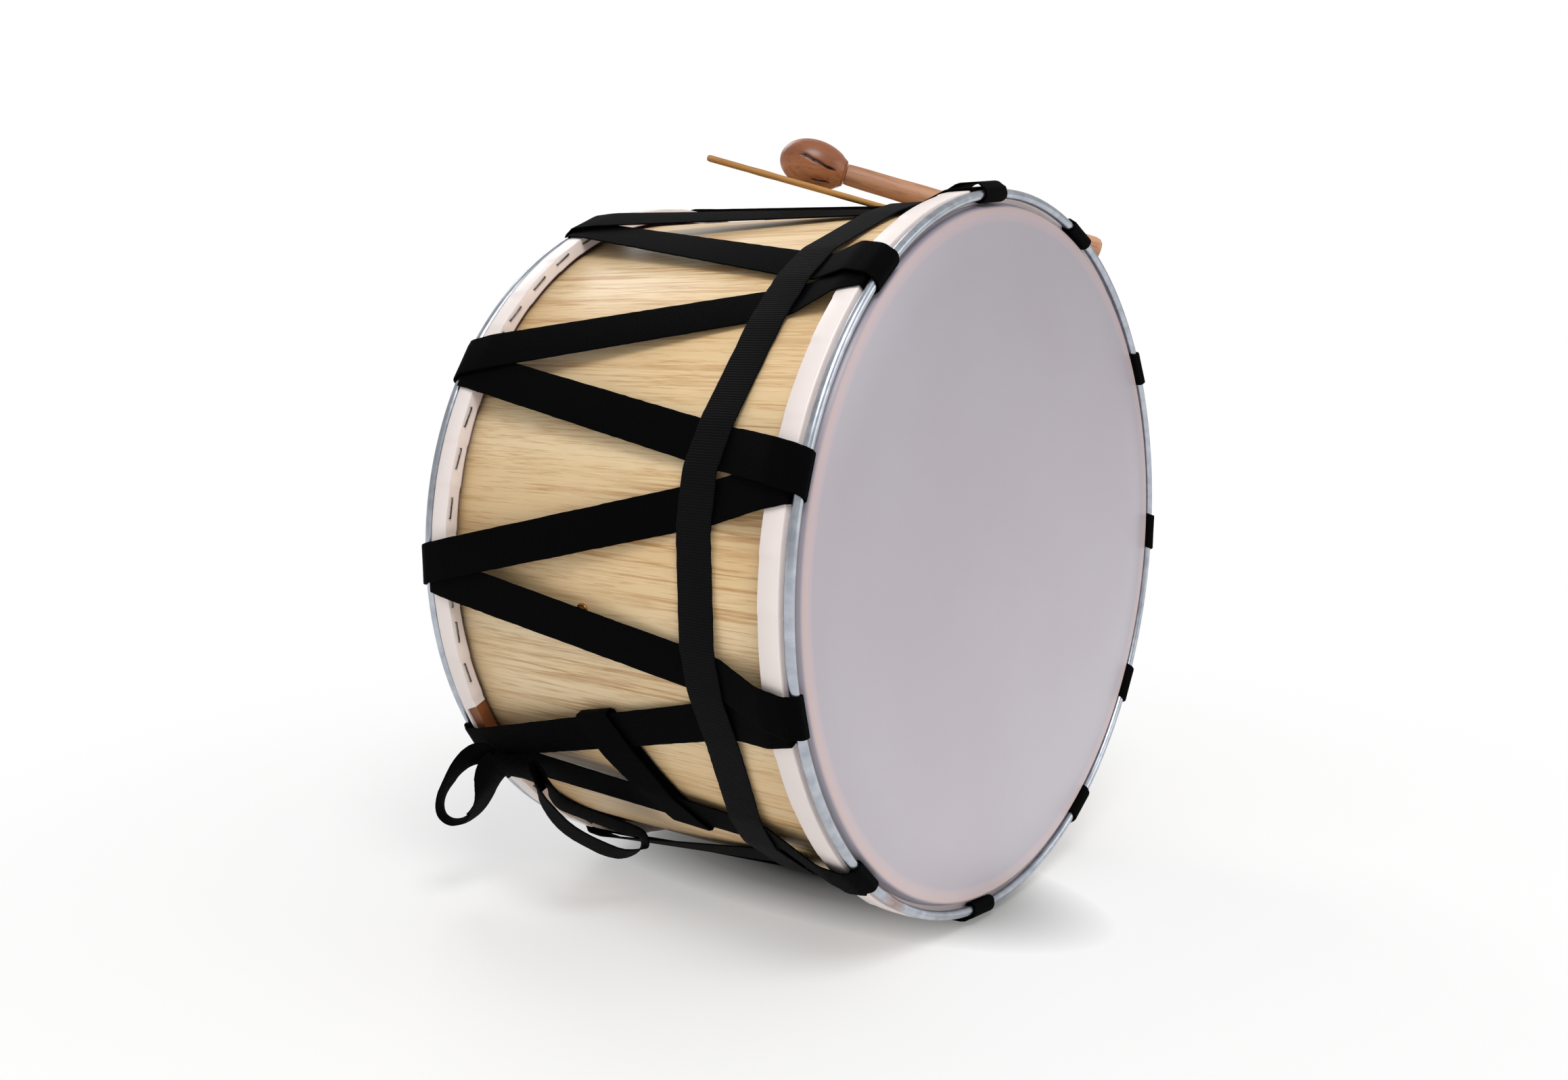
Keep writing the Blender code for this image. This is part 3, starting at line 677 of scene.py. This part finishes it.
bandTop = []
legLines = []
for index in (6, 7):
    middle = bandY(angleOf[index][0](band["back"]))
    for s in (-1, 1):
        y = middle
        for attempt in range(4):
            centre, normal, across = legRow(index, y)
            point = centre - normal.normalized() * (webbing["thickness"] / 2 + edge)
            point += across * s * (webbing["width"] / 2 + edge)
            y = bandY(atan2(point.z, point.x) % (2 * pi))
        bandTop.append(point)
    legLines.append((legRow(index, middle + 6)[0] - legRow(index, middle - 6)[0]).normalized())
angles = [atan2(p.z, p.x) % (2 * pi) for p in bandTop]
floorRho = drum["shell"] + drum["gap"] + 1.7
under = [radial(max(angles) + (min(angles) - max(angles)) * k / 6) * floorRho for k in range(7)]
whole = bandTop + under
upper = [whole[k] for k in convex_hull_2d([(p.x, p.z) for p in whole])]
upper = sorted((p for p in upper if p.xz.length > floorRho + 0.8),
               key=lambda p: atan2(p.z, p.x) % (2 * pi))
ring = closedRing(upper + under, 1.0)
bandRows = []
for k, p in enumerate(ring):
    # the band folds along the runs' own edges
    angle = atan2(p.z, p.x) % (2 * pi)
    share = min(1.0, max(0.0, (angle - angles[1]) / (angles[2] - angles[1])))
    across = legLines[0].lerp(legLines[1], share)
    if p.xz.length < floorRho + 0.1:
        across -= radial(angle) * across.dot(radial(angle))
    bandRows.append((Vector((p.x, bandY(angle), p.z)), outwardsAt(ring, k), across.normalized()))
bandBm = tapeStrip(roundRows(splitRows(bandRows, 8.0), closed=True), band["width"],
                   webbing["thickness"], 0.3)
finishPiece("tieBandWebbing", bandBm, laceCloth, replaces=["tie_band"])

# Bow: knot and two loops
bow = dict(angle=radians(214.2), floor=innerLayer + 2.8, height=9.0, length=34.0, width=21.0,
           inset=44.6, loopWidth=25.0)
# Each loop's middle line from the knot's centre, and its share of the twist at each point
leftRoute = [(1.2, 17.7, 0.8, 0), (-3.8, 25.3, 6, 0.2), (-9.6, 32.3, 5.2, 0.5),
           (-14.8, 38.3, -0.5, 0.8), (-19.3, 43.3, -9.1, 1), (-22.1, 47.3, -18.2, 1),
           (-21.4, 51.3, -26.7, 1), (-17.8, 54.3, -34.6, 1), (-12.2, 56.3, -41.1, 1),
           (-5, 57.3, -45.4, 1), (2.2, 56.3, -46.3, 1), (6.7, 53.3, -42.9, 1),
           (8.4, 48.3, -36.3, 1), (7.6, 41.3, -27.2, 1), (5, 34.3, -18.1, 0.8),
           (1.4, 27.3, -8.8, 0.5), (0.2, 21.8, -2.5, 0.2), (-1.4, 17.7, -1, 0)]
rightRoute = [(1.2, -17.7, 0.8, 0), (-0.2, -21.7, -2.6, 0.15), (2.2, -26.7, -12.4, 0.45),
           (6.5, -31.7, -19.6, 0.75), (12.7, -36.7, -23.8, 1), (18.4, -41.7, -27.1, 1),
           (30.1, -49.7, -34.3, 1), (39.3, -56.7, -39.8, 1), (44, -61.7, -43.2, 1),
           (46.2, -63.7, -47.9, 1), (45, -61.7, -53.5, 1), (37.9, -57.7, -55.9, 1),
           (28.3, -52.7, -52.8, 1), (17.8, -47.7, -45.5, 1), (8.1, -42.7, -38.2, 1),
           (-0.2, -37.7, -29.7, 1), (-5.1, -31.7, -20, 0.8), (-8.1, -26.7, -11.4, 0.55),
           (-7.7, -21.7, -4.2, 0.3), (-3.6, -18.7, -0.6, 0.1), (-1.4, -17.7, -1, 0)]
knotOut, knotSide = radial(bow["angle"]), tangent(bow["angle"])
knotCentre = knotOut * (bow["floor"] + bow["height"] / 2) + axisLine * (half - bow["inset"])
knotBm = bmesh.new()
bmesh.ops.create_cube(knotBm, size=1)
bmesh.ops.subdivide_edges(knotBm, edges=knotBm.edges[:], cuts=9, use_grid_fill=True)
for v in knotBm.verts:
    # a wrapped band pinched at its middle, with fold ridges running round it
    waist = 0.72 + 0.28 * (2 * v.co.y) ** 2
    ridge = 1 - 0.07 * abs(sin(v.co.y * 9.0 + v.co.z * 4.0))
    squash = 1 - 0.35 * (2 * abs(v.co.z)) ** 3
    v.co = Vector((v.co.x * bow["height"] * squash * ridge, v.co.y * bow["length"],
                   v.co.z * bow["width"] * waist * ridge))
bmesh.ops.smooth_vert(knotBm, verts=knotBm.verts, factor=0.5, use_axis_x=True, use_axis_y=True,
                      use_axis_z=True)
uvLayer = knotBm.loops.layers.uv.new("strip")
for face in knotBm.faces:
    for corner in face.loops:
        corner[uvLayer].uv = (corner.vert.co.z, corner.vert.co.y)
knotBm.transform(Matrix((knotOut, axisLine, knotOut.cross(axisLine))).transposed().to_4x4())
bmesh.ops.translate(knotBm, vec=knotCentre, verts=knotBm.verts)
finishPiece("bowKnot", knotBm, laceCloth, replaces=["bow_knot"])


def bowLoopRows(route, heading, atEnd):
    points = [knotCentre + Vector(p[:3]) for p in route]
    last = len(points) - 1
    rows = []
    for k, point in enumerate(points):
        blend = route[k][3]
        straight = heading if k < last / 2 else -heading
        ahead = (points[min(k + 1, last)] - points[max(k - 1, 0)]).normalized()
        ahead = straight.lerp(ahead, min(1.0, 2 * blend)).normalized()
        across = knotSide.lerp(atEnd, blend)
        across = (across - ahead * across.dot(ahead)).normalized()
        rows.append((point, ahead.cross(across), across))
    return rows


for word, rows in (("Left", bowLoopRows(leftRoute, axisLine, Vector((0.661, 0.570, -0.488)))),
                   ("Right", bowLoopRows(rightRoute, -axisLine, Vector((0.481, 0.690, -0.540))))):
    rows = roundRows(rows)
    rows = roundRows(splitRows(rows, 5.0))
    loopBm = tapeStrip(rows, bow["loopWidth"], webbing["thickness"], 0.3)
    piece = finishPiece("bowLoop" + word, loopBm, laceCloth,
                        replaces=["bow_loop_" + word.lower()])
print("bow done")

# Small wire eye on the shell
eye = dict(angle=radians(184.67), y=156.0 - half, wire=0.8, radius=3.3)
eyeBm = spinProfile([(eye["radius"] + eye["wire"] * cos(2 * pi * k / 10),
                      eye["wire"] * sin(2 * pi * k / 10)) for k in range(10)], 40, axis=(0, 0, 1))
eyeOut = radial(eye["angle"])
eyeBm.transform(Matrix((axisLine, eyeOut.cross(axisLine), eyeOut)).transposed().to_4x4())
bmesh.ops.translate(eyeBm, verts=eyeBm.verts, vec=eyeOut * (drum["shell"] + drum["gap"] + eye["wire"])
                    + axisLine * eye["y"])
finishPiece("wireEye", eyeBm, brass, replaces=["strap_eye"])

# Beater and switch
toBeater = beater["up"].to_track_quat("Z", "Y").to_matrix()
grain = tuple(toBeater.inverted().to_euler())
spotBeater = tuple((origin + beater["centre"]) * mm)
beaterWood = beechWood("stainedWalnutHead", "#C98C62", "#A2643C", "#642F18", 0.34,
                       ((1, 1, 0.16), grain, spotBeater), 420)
shader = beaterWood.node_tree.nodes["Principled BSDF"]
plain = shader.inputs["Base Color"].links[0].from_socket
split = addNode(beaterWood.node_tree, "ShaderNodeAttribute", attribute_name="split").outputs["Fac"]
beaterWood.node_tree.links.new(mixColours(beaterWood.node_tree, split, plain, hexColour("#1E0C06")),
                               shader.inputs["Base Color"])
handleWood = beechWood("wornHandleBeech", "#D3A27E", "#B58260", "#7C4D36", 0.5,
                       ((1, 1, 0.10), grain, spotBeater), 380)
collar = -0.44 * beater["length"]
tip = beater["length"] / 2
egg = [(0, collar), (beater["handle"] - 0.8, collar), (beater["handle"] + 0.2, collar + 0.3),
       (beater["handle"] + 1.2, collar + 1.2)]
for k in range(1, 56):
    z = collar + 1.2 + (tip - collar - 1.2) * (1 - cos(pi * k / 56)) / 2
    groove = 0.35 * max(0.0, 1 - abs(z - collar - 3.6) / 0.9)
    egg.append((beater["head"] * sqrt(max(0, 1 - (z / tip) ** 2)) * (1 + 0.06 * z / tip) - groove, z))
egg.append((0, tip))
eggBm = spinProfile(egg, 180, closed=False, axis=(0, 0, 1))
# Two splits along the grain on the side that faces the camera: (degrees up, mm from the middle)
toLens = toBeater.inverted() @ (spot / mm - origin - beater["centre"])
lensAngle = atan2(toLens.y, toLens.x)
upwards = 1 if (toBeater @ Vector((-sin(lensAngle), cos(lensAngle), 0))).z > 0 else -1
splits = [(1.5, ((14, 12.5), (17, 8), (11, 3), (9, -2), (3, -8), (1, -15))),
          (1.1, ((-34, 1), (-37, -4), (-36, -9), (-39, -13.5)))]
splitShade = eggBm.verts.layers.float.new("split")
for v in eggBm.verts:
    angle = (atan2(v.co.y, v.co.x) - lensAngle + pi) % (2 * pi) - pi
    for width, points in splits:
        for (a0, z0), (a1, z1) in zip(points, points[1:]):
            if z1 <= v.co.z < z0:
                t = (v.co.z - z0) / (z1 - z0)
                lean = radians(a0 + (a1 - a0) * t) * upwards
                ends = min(1.0, (points[0][1] - v.co.z) / 3, (v.co.z - points[-1][1]) / 3)
                off = abs(angle - lean) * beater["head"] / max(0.2, width * ends)
                if off < 1:
                    v[splitShade] = min(1.0, 1.6 * (1 - off))
                    v.co -= Vector((v.co.x, v.co.y, 0)).normalized() * 1.2 * ends * (1 - off)
place = Matrix.Translation(beater["centre"]) @ toBeater.to_4x4()
eggBm.transform(place)
finishPiece("tokmakHead", eggBm, beaterWood, body="tokmak", replaces=["tokmak_head"])
top = collar - drum["gap"]
reach = beater["reach"]
shaft = [(0, top), (beater["handle"] - 1.2, top)]
for k in range(17):
    swell = 0.9 * min(1, k / 6) + 0.12 * sin(k * 1.7)
    shaft.append((beater["handle"] - 0.9 + swell, top - 3 - (reach + top - 8) * k / 16))
shaft += [(beater["handle"] - 0.8, 1.6 - reach), (beater["handle"] - 2.5, -reach), (0, -reach)]
shaftBm = spinProfile(shaft, 64, closed=False, axis=(0, 0, 1))
shaftBm.transform(place)
finishPiece("tokmakHandle", shaftBm, handleWood, body="tokmak",
            replaces=["tokmak_handle"])

switch = dict(tip=frontCentre + Vector((-75.2, 177.7, 251.7)), length=251.0, radius=2.25,
              up=Vector((-0.7720, 0.5911, 0.2335)).normalized())
toSwitch = switch["up"].to_track_quat("Z", "Y").to_matrix()
switchWood = beechWood("goldenCornelStick", "#CF9A52", "#A87438", "#6E441C", 0.45,
                       ((1, 1, 0.08), tuple(toSwitch.inverted().to_euler()),
                        tuple((origin + switch["tip"]) * mm)), 500)
stick = [(0, 0), (switch["radius"] - 0.9, 0), (switch["radius"] - 0.3, -0.8)]
for k in range(60):
    z = -2 - (switch["length"] - 4) * k / 59
    stick.append((switch["radius"] - 0.12 + 0.12 * sin(k * 0.9) * wobble(k // 6), z))
stick += [(switch["radius"] - 0.7, -switch["length"]), (0, -switch["length"])]
stickBm = spinProfile(stick, 24, closed=False, axis=(0, 0, 1))
stickBm.transform(Matrix.Translation(switch["tip"]) @ toSwitch.to_4x4())
finishPiece("cubukStick", stickBm, switchWood, body="cubuk", replaces=["cubuk"])
print("beaters done")

# Studio: pale floor that fades to white away from the drum, soft lamps
floorBm = bmesh.new()
bmesh.ops.create_grid(floorBm, x_segments=1, y_segments=1, size=12)
floorMesh = bpy.data.meshes.new("studioFloor")
floorBm.to_mesh(floorMesh)
floorBm.free()
floorPiece = bpy.data.objects.new("studioFloor", floorMesh)
floorPiece.location.z = -0.0003
bpy.context.scene.collection.objects.link(floorPiece)
paper = bpy.data.materials.new("whitePaper")
paper.use_nodes = True
paperTree = paper.node_tree
paperTree.nodes.clear()
distance = addNode(paperTree, "ShaderNodeVectorMath", {0: objectPlace(paperTree)},
                   operation="LENGTH").outputs["Value"]
fade = addNode(paperTree, "ShaderNodeMapRange", {"Value": distance, "From Min": 0.25,
               "From Max": 0.8, "To Min": 0.42}, interpolation_type="SMOOTHSTEP").outputs["Result"]
rays = addNode(paperTree, "ShaderNodeLightPath").outputs
seen = mathNode(paperTree, "MAXIMUM", rays["Is Camera Ray"], rays["Is Glossy Ray"])
# painted shadow: the floor's colour and its glow go near black right under the drum
besides = addNode(paperTree, "ShaderNodeVectorMath", {0: objectPlace(paperTree, (10.5, 4.5, 1))},
                  operation="LENGTH").outputs["Value"]
shade = ramp(paperTree, besides, (0.2, "#080808"), (0.55, "#8E8D8C"), (1.0, "#F6F6F5"))
light = ramp(paperTree, besides, (0.2, "#080808"), (0.55, "#9A9998"), (1.0, "#FFFFFF"))
matt = addNode(paperTree, "ShaderNodeBsdfDiffuse", {"Color": shade}).outputs[0]
glow = addNode(paperTree, "ShaderNodeEmission", {"Color": light, "Strength": 1.0}).outputs[0]
both = addNode(paperTree, "ShaderNodeMixShader", {0: mathNode(paperTree, "MULTIPLY", fade, seen),
               1: matt, 2: glow}).outputs[0]
addNode(paperTree, "ShaderNodeOutputMaterial", {"Surface": both})
floorMesh.materials.append(paper)

world = bpy.data.worlds.new("studioWorld")
bpy.context.scene.world = world
world.use_nodes = True
worldTree = world.node_tree
worldTree.nodes.clear()
rays = addNode(worldTree, "ShaderNodeLightPath").outputs
seen = mathNode(worldTree, "MAXIMUM", rays["Is Camera Ray"], rays["Is Transmission Ray"])
soft = addNode(worldTree, "ShaderNodeBackground", {"Color": (1, 1, 1, 1), "Strength": 0.56}).outputs[0]
plain = addNode(worldTree, "ShaderNodeBackground", {"Color": (1, 1, 1, 1), "Strength": 1.0}).outputs[0]
sky = addNode(worldTree, "ShaderNodeMixShader", {0: seen, 1: soft, 2: plain}).outputs[0]
addNode(worldTree, "ShaderNodeOutputWorld", {"Surface": sky})

for name, place, size, power in (("keyLamp", (-1.1, -1.2, 2.3), 1.0, 34.0),
                                 ("fillLamp", (0.9, -2.0, 1.0), 1.4, 9.0),
                                 ("rimLamp", (0.6, 1.5, 1.7), 1.0, 9.0)):
    lamp = bpy.data.objects.new(name, bpy.data.lights.new(name, "AREA"))
    lamp.data.size = size
    lamp.data.energy = power
    lamp.location = place
    aim = Vector((0, 0, 0.22)) - Vector(place)
    lamp.rotation_euler = aim.to_track_quat("-Z", "Y").to_euler()
    bpy.context.scene.collection.objects.link(lamp)
